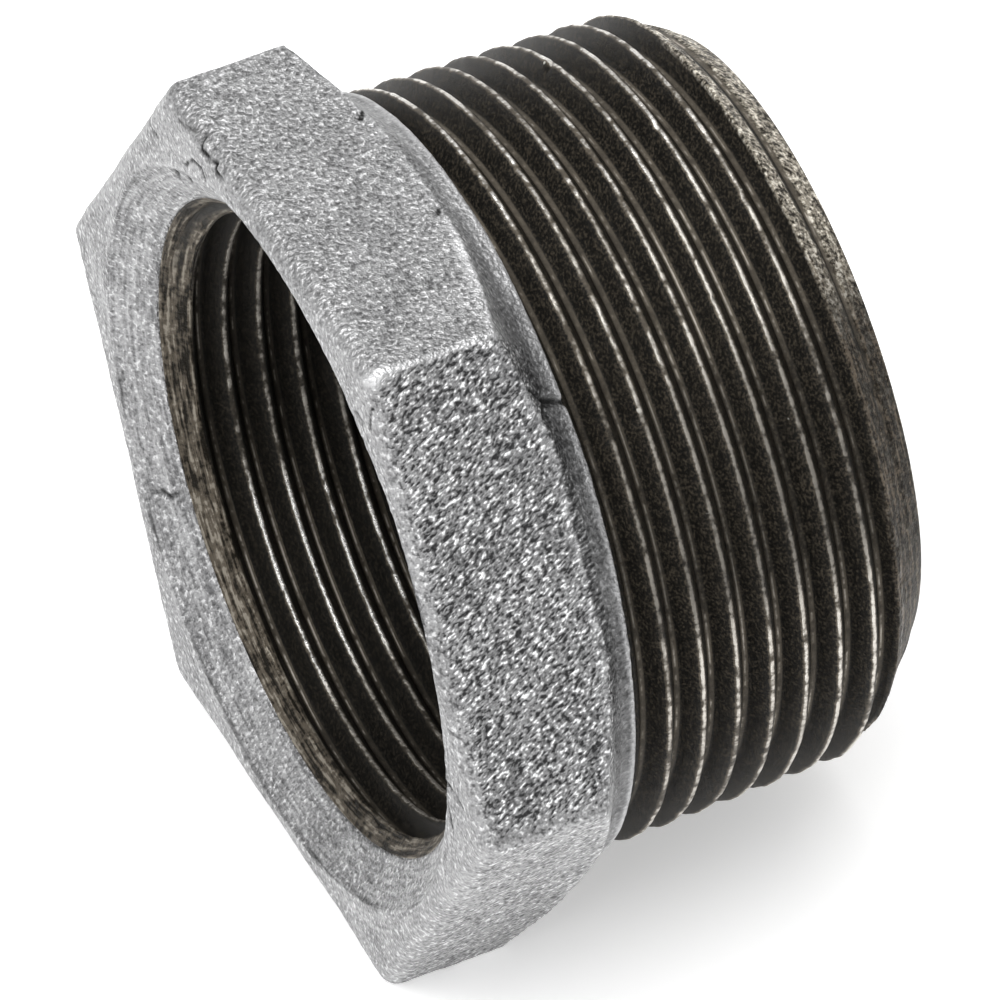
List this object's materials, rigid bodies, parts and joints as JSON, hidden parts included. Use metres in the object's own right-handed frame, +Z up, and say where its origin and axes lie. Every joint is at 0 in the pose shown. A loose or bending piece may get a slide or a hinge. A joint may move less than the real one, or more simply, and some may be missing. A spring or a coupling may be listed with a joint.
{
  "type": "hexagon reducing bush",
  "caption": "Galvanised iron hexagon reducing bush: male taper pipe thread outside, female pipe thread inside opening through the hexagon end.",
  "frame": {"origin": "on the bore axis, in the plane of the hexagon face that the female thread opens through", "axes": "+X along the bore axis from the hexagon face toward the male spigot's end; +Z up, at right angles to a level pair of hexagon flats; +Y across the hexagon's corners"},
  "size_m": [0.033, 0.058, 0.0506],
  "materials": {
    "galvanised_iron": "hot-dip galvanised cast skin outside, machined threads bare and oiled dark"
  },
  "bodies": {
    "root": {"hex_bushing": "galvanised_iron"}
  },
  "joints": []
}
